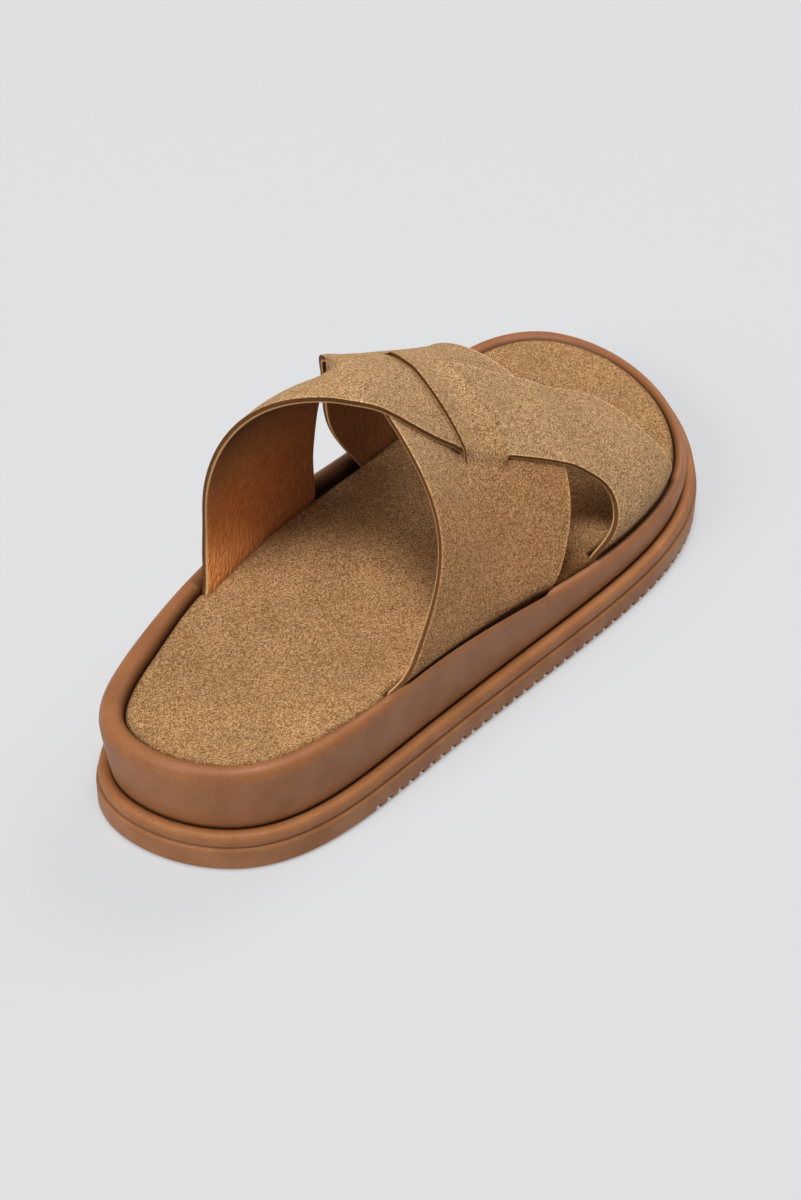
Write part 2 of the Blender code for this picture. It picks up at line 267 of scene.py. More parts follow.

# Painted shade of the cup, darkest low on the wall and at the inner lip: a value for each row of its
# tables, and a painted contact shadow beside the strap ends, which grows between two rows counted
# from the last
CUP_WALL_SHADE = (1.0, 0.9, 0.6, 0.25, 0.0)
CUP_RIM_SHADE = (0.0, 0.0, 0.0, 0.0, 0.04, 0.14, 0.35, 0.7, 1.0)
RIM_CONTACT_SHADE = 0.95
CONTACT_ROWS = (-7, -3)

# Footbed edge: insets past the cup lip and depths below its top edge
FOOTBED_EDGE = (
    # inset, fall
    (0.0, 2.6),
    (0.03, 1.5),
    (0.22, 0.8),
    (0.6, 0.3),
    (1.2, 0.06),
    (1.9, 0.0),
)

# Painted shade on the footbed's nap: a value for each ring of its edge from the floor of the cup up,
# and a patch under the crossing with its middle and reach along the foot and its fade across it
SHADED_TINT = "#9c8770"
FOOTBED_EDGE_SHADE = (1.0, 1.0, 1.0, 0.8, 0.5, 0.25, 0.1)
SHADED_ALONG = 160.0
SHADED_REACH = 15.0
SHADED_ACROSS = (2.0, 26.0)

# Stretches of the footbed edge that draw in behind the strap ends
STRAP_FEET = (
    # side (outer 1, inner -1), from along, to along, inset at the floor of the cup, inset at the top
    (1, 71.8, 143.0, 4.3, 1.9),
    (1, 171.5, 223.5, 4.3, 4.0),
    (-1, 71.8, 220.8, 3.1, 3.1),
)
FOOT_FADE = 2.0
FOOT_EASE = 0.5

# Cut edge of a strap: how far it stands out and how deep it lies
STRAP_EDGE = (
    # outward, depth
    (0.16, 0.08),
    (0.30, 0.34),
    (0.34, 0.80),
    (0.34, 1.25),
    (0.32, 1.70),
    (0.22, 2.04),
)

# Slits of the under strap: first and last turn of the cut, and where the over strap fills it
SLIT_TURNS = (
    # cut from, filled from, filled to, cut to
    (0.395, 0.470, 0.620, 0.644),
    (0.430, 0.490, 0.672, 0.688),
)

# The weave: lifts and dips as shares of the strap thickness, reaches and ramps as shares of a
# strap's width. First the under strap's band and slit lips, then the over strap where it lies on
# the under strap and where it dips at, below and beside the band.
BAND_SHARE = 0.8
BAND_EASE = 0.22
CROSS_RAMP = 0.12
SLIT_OPENING = 1.12
SLIT_REACH = 0.06
SHOULDER_RAMP = 0.05
LYING_RAMP = 0.2
LYING_LEAST = 0.5
LYING_TURN = 0.38
LYING_RUN = 0.08
SLIT_DIP = 0.5
BAND_DIP = 0.8
BAND_DIP_REACH = 0.09
BESIDE_DIP = 0.4
BESIDE_DIP_REACH = 0.05

# Buckle in the under strap's rear edge: height in millimetres, turn, span and reach
BUCKLE_LIFT = 2.5
BUCKLE_TURN = 0.33
BUCKLE_SPAN = 0.04
BUCKLE_REACH = 0.15

# Slack of the leather: slow waves that cross each other, and a phase for each strap
RIPPLES = (
    # height, rate along the foot, rate over the turn, share of the phase
    (0.07, 0.11, 9.0, 1.0),
    (0.07, 0.07, -14.0, 2.1),
    (0.05, 0.03, 21.0, 0.7),
)
RIPPLE_PHASES = {"over": 0.4, "under": 1.7}

# Painted light on the straps' suede: a painted highlight along the margins, and painted shade on
# the outer leg of the under strap past these turns
MARGIN_HIGHLIGHT = 0.7
STRAP_SHADE_TURNS = (0.56, 0.74)
STRAP_SHADE_TINT = "#efdfd0"


def ease(share):
    """Smooth step from 0 to 1: three times the square less twice the cube."""
    share = np.clip(share, 0.0, 1.0)
    return share * share * (3.0 - 2.0 * share)


def spline(knots, values, at):
    """Cubic curve through values at knots, closed to a loop if there is one knot more than values."""
    values = np.asarray(values, float)
    steps = np.diff(knots)
    count = len(values)
    spans = len(steps)
    matrix = np.zeros((count, count))
    right = np.zeros_like(values)
    for span in range(spans):
        first, second = span, (span + 1) % count
        slope = 3.0 * (values[second] - values[first]) / steps[span] ** 2
        for row, other in ((first, second), (second, first)):
            matrix[row, row] += 2.0 / steps[span]
            matrix[row, other] += 1.0 / steps[span]
            right[row] += slope
    tangents = np.linalg.solve(matrix, right)
    span = np.clip(np.searchsorted(knots, at, side="right") - 1, 0, spans - 1)
    step = steps[span]
    share = (at - np.asarray(knots)[span]) / step
    following = (span + 1) % count
    if values.ndim > 1:
        share, step = share[..., None], step[..., None]
    rest = 1.0 - share
    near = rest * rest * ((1.0 + 2.0 * share) * values[span] + share * step * tangents[span])
    far = share * share * ((3.0 - 2.0 * share) * values[following] - rest * step * tangents[following])
    return near + far


def outline(count):
    """Closed spline through the outline table, heel first, toe tip half way."""
    points = np.array(OUTLINE) * (BALL_WIDTH, LENGTH)
    chords = np.linalg.norm(np.roll(points, -1, axis=0) - points, axis=1)
    knots = np.concatenate([[0.0], np.cumsum(np.sqrt(chords))])
    toe = knots[len(points) // 2]
    half = count // 2
    outer = np.linspace(0.0, toe, half, endpoint=False)
    inner = np.linspace(toe, knots[-1], half, endpoint=False)
    return spline(knots, points, np.concatenate([outer, inner]))


def inward(loop):
    """Unit directions into the loop: its chord from neighbour to neighbour, turned a quarter."""
    along = np.roll(loop, -1, axis=0) - np.roll(loop, 1, axis=0)
    along /= np.linalg.norm(along, axis=1)[:, None]
    return np.stack([-along[:, 1], along[:, 0]], axis=1)


# Coarse outline, whose middle is that of the part, and a fine one to measure along
COARSE = outline(OUTLINE_STATIONS)
CENTRE = np.array([*(COARSE.min(axis=0) + COARSE.max(axis=0)) / 2.0, 0.0])
FINE = outline(FINE_STATIONS)
FINE_INWARD = inward(FINE)
FINE_RUN = np.concatenate([[0.0], np.cumsum(np.linalg.norm(np.diff(FINE, axis=0), axis=1))])
ROUND = FINE_RUN[-1] + np.linalg.norm(FINE[0] - FINE[-1])


def loop_at(run):
    """Outline points and inward directions at distances along the outline from the heel."""
    found = [np.interp(run, FINE_RUN, table[:, axis]) for table in (FINE, FINE_INWARD) for axis in (0, 1)]
    return np.stack(found[:2], axis=1), np.stack(found[2:], axis=1)


def spring(along):
    """Rise of the sole toward the toe: the square of the share past the ball."""
    share = np.clip((along - SPRING_START) / (LENGTH - SPRING_START), 0.0, 1.0)
    return TOE_SPRING * share ** 2


def medial(across):
    """Share from the outer side at 0 to the inner side at 1."""
    return 0.5 - 0.5 * np.clip(across / MEDIAL_REACH, -1.0, 1.0)


def drop(along, inner):
    """Share of the fall from heel height to toe height, later on the inner side."""
    return ease((along - DROP_START - MEDIAL_LAG * inner) / DROP_RUN)


def rim_height(along, inner):
    """Height of the rim crest."""
    return HEEL_HEIGHT - (HEEL_HEIGHT - TOE_HEIGHT) * drop(along, inner)


def cup_floor(along, inner):
    """Height of the floor of the cup that holds the footbed."""
    depth = CUP_DEPTH_HEEL + (CUP_DEPTH_TOE - CUP_DEPTH_HEEL) * drop(along, inner)
    return rim_height(along, inner) - depth


def footbed_edge(along, inner):
    """Height of the upper edge of the footbed."""
    return rim_height(along, inner) - FOOTBED_DIP + FOOTBED_RISE * drop(along, inner)


def footbed_crown(side, along):
    """Lift of the footbed between its edges: a heel hollow, an arch support and a full forefoot."""
    share = along / LENGTH
    forward = ease((share - CROWN_START) / CROWN_RUN)
    bow = (1.0 - side ** 2) * (FOREFOOT_CROWN * forward - HEEL_HOLLOW * (1.0 - forward))
    inner = ease(-side / SUPPORT_INWARD) * ease((1.0 + side) / SUPPORT_EDGE)
    return bow + ARCH_SUPPORT * inner * np.exp(-((share - SUPPORT_AT) / SUPPORT_REACH) ** 2)


# Loop on which the strap ends go down, and the count of points on each side of it
FOOT_LOOP = FINE + FINE_INWARD * FOOT_INSET
HALF = len(FINE) // 2


def foot_lines(along):
    """Positions across the sole where the straps go down, inner side then outer side."""
    outer = FOOT_LOOP[: HALF + 1]
    inner = np.roll(FOOT_LOOP, -HALF, axis=0)[: HALF + 1][::-1]
    return np.interp(along, inner[:, 1], inner[:, 0]), np.interp(along, outer[:, 1], outer[:, 0])


def swell(turn):
    """How far both straps stand off the arch: a spline through the table that fades at their ends."""
    table = np.array(STRAP_EDGES)
    fade = ease(turn / SWELL_END) * ease((1.0 - turn) / SWELL_END)
    return spline(table[:, 0], table[:, -1], turn) * fade


def arch_point(along, turn, lift, squared=1.0):
    """Point on the strap arch: a squared oval over the foot, leaning inward, raised by a lift.

    The oval's half width and height are raised to a power that squares it most near one place
    along the foot. A bell takes the bulge back at the strap feet, and the lean toward the inner
    side grows with the square of the rise.
    """
    angle = math.pi * turn
    cosine, sine = np.cos(angle), np.sin(angle)
    inner = 0.5 + 0.5 * cosine
    on_inner = cosine > 0.0
    table = np.array(ARCH)
    lift = lift + swell(turn)
    height = spline(table[:, 0] * LENGTH, table[:, 1] * INSTEP_HEIGHT, along) + lift
    inner_line, outer_line = foot_lines(along)
    middle = (inner_line + outer_line) / 2.0
    bulge = np.where(on_inner, MEDIAL_BULGE, LATERAL_BULGE)
    reach = (outer_line - inner_line) / 2.0 + bulge + lift
    behind = on_inner & (along < SQUARE_AT)
    near = np.exp(-((along - SQUARE_AT) / np.where(behind, SHOULDER_REACH, SQUARE_REACH)) ** 2)
    plain, more = SQUARENESS["medial"]
    outer_plain, outer_more = SQUARENESS["lateral"]
    power = np.where(on_inner, plain + more * near * squared, outer_plain + outer_more * near)
    radius = ((np.abs(cosine) / reach) ** power + (np.abs(sine) / height) ** power) ** (-1.0 / power)
    rise = radius * sine
    pressed, free = LATERAL_BULGE_SHARES
    start, end = LATERAL_BULGE_CHANGE
    share = pressed + (free - pressed) * ease((along - start) / (end - start))
    depth = rim_height(along, 0.0) - cup_floor(along, 0.0)
    bulge_rise = np.where(on_inner, MEDIAL_BULGE_RISE, share * depth)
    tuck = np.exp(-(rise / bulge_rise) ** 2) * np.where(on_inner, bulge, -bulge)
    across = middle - radius * cosine + tuck + RIDGE_SHIFT * (rise / height) ** 2
    base = cup_floor(along, inner) + FOOT_LIFT
    return np.stack([across, along + 0.0 * rise, base + rise], axis=-1)


def strap_edges(strap, turn):
    """Rear and front edge of a strap along the foot at each turn."""
    table = np.array(STRAP_EDGES)
    first = 1 if strap == "over" else 3
    rear = spline(table[:, 0], table[:, first] * LENGTH, turn)
    front = spline(table[:, 0], table[:, first + 1] * LENGTH, turn)
    return rear, front


def strap_share(strap, turn, along):
    """Share across a strap, 0 at its rear edge and 1 at its front edge."""
    rear, front = strap_edges(strap, turn)
    return (along - rear) / (front - rear)


def within(share, ramp):
    """One inside a strap, falling to zero over a ramp past either edge."""
    return ease((share + ramp) / ramp) * ease((1.0 + ramp - share) / ramp)


def ripple(along, turn, phase):
    """Slack of the leather: the sum of the table's sine waves along the foot and over the turn."""
    return sum(height * np.sin(run * along + sweep * turn + share * phase)
               for height, run, sweep, share in RIPPLES)


def over_squared(turn, along):
    """Share of the under strap's squareness that the over strap takes on: all of it where it lies there."""
    return ease(1.0 + strap_share("under", turn, along) / SHOULDER_RAMP)


def buckle(turn, place):
    """Bump where the under strap's rear edge buckles upward: a bell along and across the strap."""
    return BUCKLE_LIFT * np.exp(-((turn - BUCKLE_TURN) / BUCKLE_SPAN) ** 2 - (place / BUCKLE_REACH) ** 2)


def over_lift(turn, along, share, strip):
    """Lift of the over strap: it lies on the under strap's rear and front, and dips below its band."""
    place = strap_share("under", turn, along)
    inside = np.minimum(place - SLITS[0], SLITS[1] - place)
    settled = LYING_LEAST + (1.0 - LYING_LEAST) * ease((turn - LYING_TURN) / LYING_RUN)
    lying = within(place, LYING_RAMP) * settled
    below = SLIT_DIP + BAND_DIP * ease(inside / BAND_DIP_REACH)
    beside = BESIDE_DIP * (1.0 - ease(-inside / BESIDE_DIP_REACH))
    woven = STRAP_THICKNESS * (lying - np.where(inside > 0.0, below, beside))
    return woven + buckle(turn, place) * lying + ripple(along, turn, RIPPLE_PHASES["over"])


def under_lift(turn, along, share, strip):
    """Lift of the under strap: its band arches over the over strap, and each slit's lips part."""
    inside = np.minimum(share - SLITS[0], SLITS[1] - share)
    crossed = within(strap_share("over", turn, along), CROSS_RAMP)
    lift = BAND_SHARE * ease((inside + BAND_EASE / 2.0) / BAND_EASE) * crossed
    for slit, (cut, filled, emptied, end) in zip(SLITS, SLIT_TURNS):
        opened = ease((turn - cut) / (filled - cut)) * ease((end - turn) / (end - emptied))
        lip = np.where(strip == 1, 1.0, -1.0) * np.exp(-((share - slit) / SLIT_REACH) ** 2)
        lift = lift + SLIT_OPENING * opened * lip
    return STRAP_THICKNESS * lift + buckle(turn, share) + ripple(along, turn, RIPPLE_PHASES["under"])


def grid_faces(index):
    """Quads of a grid of vertex numbers."""
    quads = np.stack([index[:-1, :-1], index[:-1, 1:], index[1:, 1:], index[1:, :-1]], axis=-1)
    return quads.reshape(-1, 4)


def between(steps):
    """Even shares between 0 and 1, without the two ends."""
    return np.linspace(0.0, 1.0, steps + 1)[1:-1]


def ring_faces(rings, count):
    """Quads between neighbouring rings of vertices, closed round the loop."""
    index = np.arange(rings * count).reshape(rings, count)
    return grid_faces(np.concatenate([index, index[:, :1]], axis=1))


def bridge(points, ring, columns, height):
    """Grid across a closed ring: straight rows from its outer to its inner side, set to a height."""
    count, half = len(ring), len(ring) // 2
    rows = np.arange(1, half)
    start, end = points[ring[rows]][:, None], points[ring[count - rows]][:, None]
    middle = start + (end - start) * columns[None, :, None]
    middle[..., 2] = height(middle, 1.0 - 2.0 * columns[None, :])
    fresh = len(points) + np.arange(middle.shape[0] * middle.shape[1]).reshape(middle.shape[:2])
    index = np.concatenate([ring[rows][:, None], fresh, ring[count - rows][:, None]], axis=1)
    ends = [np.stack([np.full(len(row) - 1, ring[pole]), row[:-1], row[1:]], axis=1)
            for row, pole in ((index[0], 0), (index[-1][::-1], half))]
    return np.concatenate([points, middle.reshape(-1, 3)]), [grid_faces(index), *ends]


def ring_layer(values, count, total):
    """One value for each ring of vertices, and zero for the vertices that close its ends."""
    return np.concatenate([np.repeat(values, count), np.zeros(total - len(values) * count)])


def shape(name, points, faces, finishes, sharp, slots=None, layers=()):
    """Closed mesh piece from points in millimetres, its doubles merged and its faces outward."""
    mesh = bpy.data.meshes.new(name)
    mesh.from_pydata(((points - CENTRE) * MM).tolist(), [], sum((block.tolist() for block in faces), []))
    for finish in finishes:
        mesh.materials.append(finish)
    if slots is not None:
        mesh.polygons.foreach_set("material_index", np.concatenate(slots).astype(np.int32))
    for layer, values in layers:
        mesh.attributes.new(layer, "FLOAT", "POINT").data.foreach_set("value", values.astype(np.float32))
    bm = bmesh.new()
    bm.from_mesh(mesh)
    bmesh.ops.remove_doubles(bm, verts=bm.verts[:], dist=MERGE_DISTANCE)
    bmesh.ops.recalc_face_normals(bm, faces=bm.faces[:])
    bm.to_mesh(mesh)
    bm.free()
    mesh.shade_smooth()
    mesh.set_sharp_from_angle(angle=math.radians(sharp))
    thing = bpy.data.objects.new(name, mesh)
    bpy.context.scene.collection.objects.link(thing)
    return thing


# Socket numbers of a node that mixes colours
MIX_FACTOR = 0
MIX_FIRST = 6
MIX_SECOND = 7
MIX_RESULT = 2


def linear(colour):
    """sRGB hex colour turned to linear red, green, blue and full opacity."""
    shares = [int(colour[place:place + 2], 16) / 255.0 for place in (1, 3, 5)]
    light = [share / 12.92 if share <= 0.04045 else ((share + 0.055) / 1.055) ** 2.4 for share in shares]
    return (*light, 1.0)


def add(tree, kind, links=(), stops=None, **settings):
    """Node of a kind with its settings, colour stops and links from other sockets."""
    made = tree.nodes.new(kind)
    for key, value in settings.items():
        if hasattr(made, key):
            setattr(made, key, value)
        else:
            made.inputs[key.replace("_", " ")].default_value = value
    if stops:
        ramp = made.color_ramp
        while len(ramp.elements) < len(stops):
            ramp.elements.new(0.5)
        for element, (place, colour) in zip(ramp.elements, stops):
            element.position, element.color = place, linear(colour)
    for socket, source in dict(links).items():
        tree.links.new(source, made.inputs[socket])
    return made


def finish(name, **sockets):
    """Material with a Principled shader whose constant sockets are set directly."""
    made = bpy.data.materials.new(name)
    made.use_nodes = True
    shader = made.node_tree.nodes["Principled BSDF"]
    for key, value in sockets.items():
        shader.inputs[key.replace("_", " ")].default_value = value
    return made, made.node_tree, shader


def per_mm(size):
    """Texture scale on Object coordinates in metres for a feature of a size in millimetres."""
    return 1.0 / (size * MM)


def remap(tree, value, given, wanted):
    """A value taken from a given range to a wanted one."""
    made = add(tree, "ShaderNodeMapRange", {"Value": value}, From_Min=given[0], From_Max=given[1],
               To_Min=wanted[0], To_Max=wanted[1])
    return made.outputs["Result"]


def noise(tree, place, size, **settings):
    """Cloudy noise with features of a size in millimetres."""
    return add(tree, "ShaderNodeTexNoise", {"Vector": place}, Scale=per_mm(size), **settings).outputs["Fac"]


def cells(tree, place, size):
    """Random cells of a size in millimetres."""
    return add(tree, "ShaderNodeTexVoronoi", {"Vector": place}, Scale=per_mm(size)).outputs


def painted(tree, layer):
    """Values that a piece carries on its vertices."""
    return add(tree, "ShaderNodeAttribute", attribute_name=layer).outputs["Fac"]


def coloured(tree, value, stops):
    """Colour of a value by colour stops."""
    return add(tree, "ShaderNodeValToRGB", {"Fac": value}, stops=stops).outputs["Color"]


def valued(tree, colour, value):
    """A colour made lighter or darker by a factor."""
    return add(tree, "ShaderNodeHueSaturation", {"Color": colour, "Value": value}).outputs["Color"]


def blended(tree, factor, colour, other, blend="MIX"):
    """A colour blended by a factor with a second, fixed colour."""
    made = add(tree, "ShaderNodeMix", {MIX_FACTOR: factor, MIX_FIRST: colour}, data_type="RGBA",
               blend_type=blend)
    made.inputs[MIX_SECOND].default_value = linear(other)
    return made.outputs[MIX_RESULT]


def scaled_sum(tree, value, factor, other):
    """A value times a fixed factor, plus another value."""
    made = add(tree, "ShaderNodeMath", {0: value, 2: other}, operation="MULTIPLY_ADD")
    made.inputs[1].default_value = factor
    return made.outputs["Value"]


def suede(name, dark, middle, light, tint):
    """Brushed calf suede: a short nap that reads as crisp fine speckle, faint clouds and no gloss.

    The real nap is too fine to show in the render, so its tufts are drawn a third of a millimetre
    wide, as coarse as they need to be to show. A tint paints shade where the piece carries it.
    """
    made, tree, shader = finish(name, Roughness=0.95, Specular_IOR_Level=0.1, Sheen_Weight=0.08,
                                Sheen_Roughness=0.5, Sheen_Tint=linear("#e9cfa8"))
    place = add(tree, "ShaderNodeTexCoord").outputs["Object"]
    nap = cells(tree, place, size=0.34)["Color"]
    tone = coloured(tree, nap, stops=((0.2, dark), (0.5, middle), (0.8, light)))
    brushed = noise(tree, place, size=16.0, Detail=3.0, Roughness=0.55)
    cloud = remap(tree, brushed, given=(0.3, 0.7), wanted=(0.92, 1.08))
    # Painted highlight along the strap margins, on top of the faint clouds
    shaded = valued(tree, tone, scaled_sum(tree, painted(tree, "margin"), MARGIN_HIGHLIGHT, cloud))
    # Painted shade: a tint multiplied in where the piece carries painted shade values
    shade_tinted = blended(tree, painted(tree, "suede_shade"), shaded, tint, blend="MULTIPLY")
    tree.links.new(shade_tinted, shader.inputs["Base Color"])
    pile = add(tree, "ShaderNodeBump", {"Height": nap}, Strength=0.5, Distance=0.3 * MM)
    tree.links.new(pile.outputs["Normal"], shader.inputs["Normal"])
    return made


def lining_leather():
    """Smooth vegetable-tanned lining: warm orange brown, fine slanting wrinkles, a low satin gloss.

    Painted light makes it pale low down and at the rear, and painted shade makes it dark up under
    the crossing and to the front.
    Real pores are too fine to show in the render, so they are drawn 0.7 millimetres wide.
    """
    made, tree, shader = finish("smooth lining leather", Specular_IOR_Level=0.4)
    place = add(tree, "ShaderNodeTexCoord").outputs["Object"]
    slanted = add(tree, "ShaderNodeMapping", {"Vector": place}, vector_type="TEXTURE",
                  Rotation=(-0.55, 0.0, 0.0), Scale=(1.0, 1.0, 3.5)).outputs["Vector"]
    wrinkle = noise(tree, slanted, size=1.0, Detail=2.0, Roughness=0.55, Distortion=0.5)
    tone = coloured(tree, wrinkle, stops=((0.3, "#a06332"), (0.5, "#ae6f3e"), (0.72, "#bb7c4a")))
    axes = add(tree, "ShaderNodeSeparateXYZ", {"Vector": place}).outputs
    # Painted light low down and at the rear, painted shade up under the crossing and to the front
    upward = remap(tree, axes["Z"], given=(44.0 * MM, 92.0 * MM), wanted=(2.65, 0.28))
    forward = remap(tree, axes["Y"], given=(-35.0 * MM, 20.0 * MM), wanted=(1.0, 0.38))
    painted_light = add(tree, "ShaderNodeMath", {0: upward, 1: forward}, operation="MULTIPLY").outputs["Value"]
    tree.links.new(valued(tree, tone, painted_light), shader.inputs["Base Color"])
    gloss = remap(tree, wrinkle, given=(0.3, 0.7), wanted=(0.62, 0.48))
    tree.links.new(gloss, shader.inputs["Roughness"])
    pores = cells(tree, place, size=0.7)["Distance"]
    fine = add(tree, "ShaderNodeBump", {"Height": pores}, Strength=0.15, Distance=0.1 * MM)
    folds = add(tree, "ShaderNodeBump", {"Height": wrinkle, "Normal": fine.outputs["Normal"]},
                Strength=1.0, Distance=1.0 * MM)
    tree.links.new(folds.outputs["Normal"], shader.inputs["Normal"])
    return made


def cut_edge():
    """Raw cut through suede and lining: a wide dark brown ply over a thin pale one, fuzzy between."""
    made, tree, shader = finish("raw cut strap edge", Roughness=0.9, Specular_IOR_Level=0.2)
    place = add(tree, "ShaderNodeTexCoord").outputs["Object"]
    fuzz = noise(tree, place, size=0.5, Detail=2.0)
    shifted = scaled_sum(tree, fuzz, factor=0.3, other=painted(tree, "depth"))
    ply = coloured(tree, shifted, stops=((0.1, "#8f673d"), (0.25, "#684322"), (0.76, "#714926"),
                                         (0.9, "#c99d69"), (1.0, "#d8ae7b")))
    tree.links.new(ply, shader.inputs["Base Color"])
    return made


def moulded_rubber(name, deep, plain, dust, gloss):
    """Moulded gum rubber: even satin brown, a faint bloom, tiny pale specks and a fine mould texture."""
    made, tree, shader = finish(name, Specular_IOR_Level=0.3)
    place = add(tree, "ShaderNodeTexCoord").outputs["Object"]
    bloom = noise(tree, place, size=14.0, Detail=3.0, Roughness=0.6)
    specks = noise(tree, place, size=0.5, Detail=2.0, Roughness=0.6)
    tone = coloured(tree, bloom, stops=((0.35, deep), (0.62, plain)))
    bright = remap(tree, specks, given=(0.64, 0.78), wanted=(0.0, 0.6))
    # Painted shade: the base colour darkens where a piece carries painted shade values
    shade_factor = remap(tree, painted(tree, "painted_shade"), given=(0.0, 1.0), wanted=(1.0, 0.3))
    shaded = valued(tree, blended(tree, bright, tone, dust), shade_factor)
    tree.links.new(shaded, shader.inputs["Base Color"])
    satin = remap(tree, bloom, given=(0.3, 0.7), wanted=(gloss + 0.08, gloss - 0.05))
    tree.links.new(satin, shader.inputs["Roughness"])
    mould = add(tree, "ShaderNodeBump", {"Height": specks}, Strength=0.35, Distance=0.25 * MM)
    tree.links.new(mould.outputs["Normal"], shader.inputs["Normal"])
    return made


STRAP_SUEDE = suede("tan strap suede", "#866139", "#b58b60", "#dcb589", STRAP_SHADE_TINT)
FOOTBED_SUEDE = suede("tan footbed suede", "#7c5732", "#ac7f53", "#d4a878", SHADED_TINT)
LINING = lining_leather()
EDGE = cut_edge()
OUTSOLE_RUBBER = moulded_rubber("gum outsole rubber", "#a2673b", "#b07547", "#deb48c", 0.46)
CUP_RUBBER = moulded_rubber("brown cup rubber", "#9d643c", "#a96e44", "#deb692", 0.44)


def outsole():
    """Side profile carried round the outline and pushed in at each notch, with a recess and a flat top."""
    table = np.array(OUTSOLE_SIDE)
    notched = FINE_RUN[FINE[:, 1] > NOTCH_START]
    centres = np.arange(notched[0], notched[-1], NOTCH_PITCH)
    offsets = np.array(NOTCH_STEPS)
    heel = np.linspace(0.0, centres[0] + offsets[0], HEEL_STEPS, endpoint=False)
    front = (centres[:, None] + offsets).ravel()
    rest = HEEL_STEPS + (len(heel) + len(front)) % 2
    back = np.linspace(centres[-1] + NOTCH_PITCH + offsets[0], ROUND, rest, endpoint=False)
    inside = np.tile(np.abs(offsets) < NOTCH_HALF, len(centres))
    notch = np.concatenate([np.zeros(len(heel)), inside, np.zeros(len(back))])
    loop, turn = loop_at(np.concatenate([heel, front, back]))
    inset = table[:, :1] + (table[:, 2:3] - table[:, :1]) * notch
    level = table[:, 1:2] + (table[:, 3:] - table[:, 1:2]) * notch
    flat = loop + turn * inset[..., None]
    points = np.concatenate([flat, (level + spring(flat[..., 1]))[..., None]], axis=-1)
    rings, count = points.shape[:2]
    points = points.reshape(-1, 3)
    faces = [ring_faces(rings, count)]
    for ring in (0, rings - 1):
        points, more = bridge(points, ring * count + np.arange(count), between(SOLE_COLUMNS),
                              lambda middle, side: table[ring, 1] + spring(middle[..., 1]))
        faces += more
    # Painted shade in the groove above the band and on the ledge under the cup
    step = np.exp(-((table[:, 1] - GROOVE_LEVEL) / GROOVE_REACH) ** 2) * (table[:, 0] > GROOVE_INSET)
    ledge = ease((table[:, 0] - LEDGE_INSET) / LEDGE_FADE) * (table[:, 1] > GROOVE_LEVEL)
    painted_shade = np.maximum(GROOVE_SHADE * step, ledge)
    layers = [("painted_shade", ring_layer(painted_shade, count, len(points)))]
    return shape("outsole_rubber", points, faces, [OUTSOLE_RUBBER], sharp=50.0, layers=layers)


def tread():
    """Wavy bars across the tread recess: a bevelled section carried along a sine across the sole."""
    section = np.array(TREAD_SECTION)
    bars = np.arange(*TREAD_SPAN, TREAD_PITCH)
    recess = FINE + FINE_INWARD * TREAD_INSET
    outer, inner = recess[: HALF + 1], np.roll(recess, -HALF, axis=0)[: HALF + 1][::-1]
    right = np.interp(bars, outer[:, 1], outer[:, 0])[:, None]
    left = np.interp(bars, inner[:, 1], inner[:, 0])[:, None]
    across = left + (right - left) * np.linspace(0.0, 1.0, TREAD_STEPS)
    middle = bars[:, None] + TREAD_SWAY * np.sin(2.0 * np.pi * across / TREAD_WAVE)
    along = middle[..., None] + section[:, 0]
    points = np.stack([across[..., None] + 0.0 * along, along, section[:, 1] + spring(along)], axis=-1)
    index = np.arange(points.size // 3).reshape(points.shape[:3])
    closed = np.concatenate([index, index[..., :1]], axis=2)
    near, far = closed[:, :-1], closed[:, 1:]
    quads = np.stack([near[..., :-1], near[..., 1:], far[..., 1:], far[..., :-1]], axis=-1)
    faces = [quads.reshape(-1, 4), index[:, 0], index[:, -1]]
    return shape("outsole_tread", points.reshape(-1, 3), faces, [OUTSOLE_RUBBER], sharp=30.0)


def lip_inset(along):
    """Inset of the rim's inner lip, wider round the heel."""
    return LIP_INSET + HEEL_LIP * (1.0 - ease((along - HEEL_LIP_END / 2.0) / (HEEL_LIP_END / 2.0)))


def foot_stretch(loop, foot_side, start, end, fade=FOOT_FADE):
    """One beside a strap end, fading to zero over a short way past it, for each point of a loop."""
    along = loop[:, 1]
    side = np.where(np.arange(len(loop)) < len(loop) // 2, 1, -1)
    stretch = ease((along - start + fade) / fade) * ease((end + fade - along) / fade)
    return stretch * (side == foot_side)


def cup_base(middle, side):
    """Height of the underside of the cup."""
    return OUTSOLE_TOP + GAP + spring(middle[..., 1])


def cup_bottom(middle, side):
    """Height of the floor inside the cup."""
    return cup_floor(middle[..., 1], medial(middle[..., 0])) - CUP_FLOOR_DROP


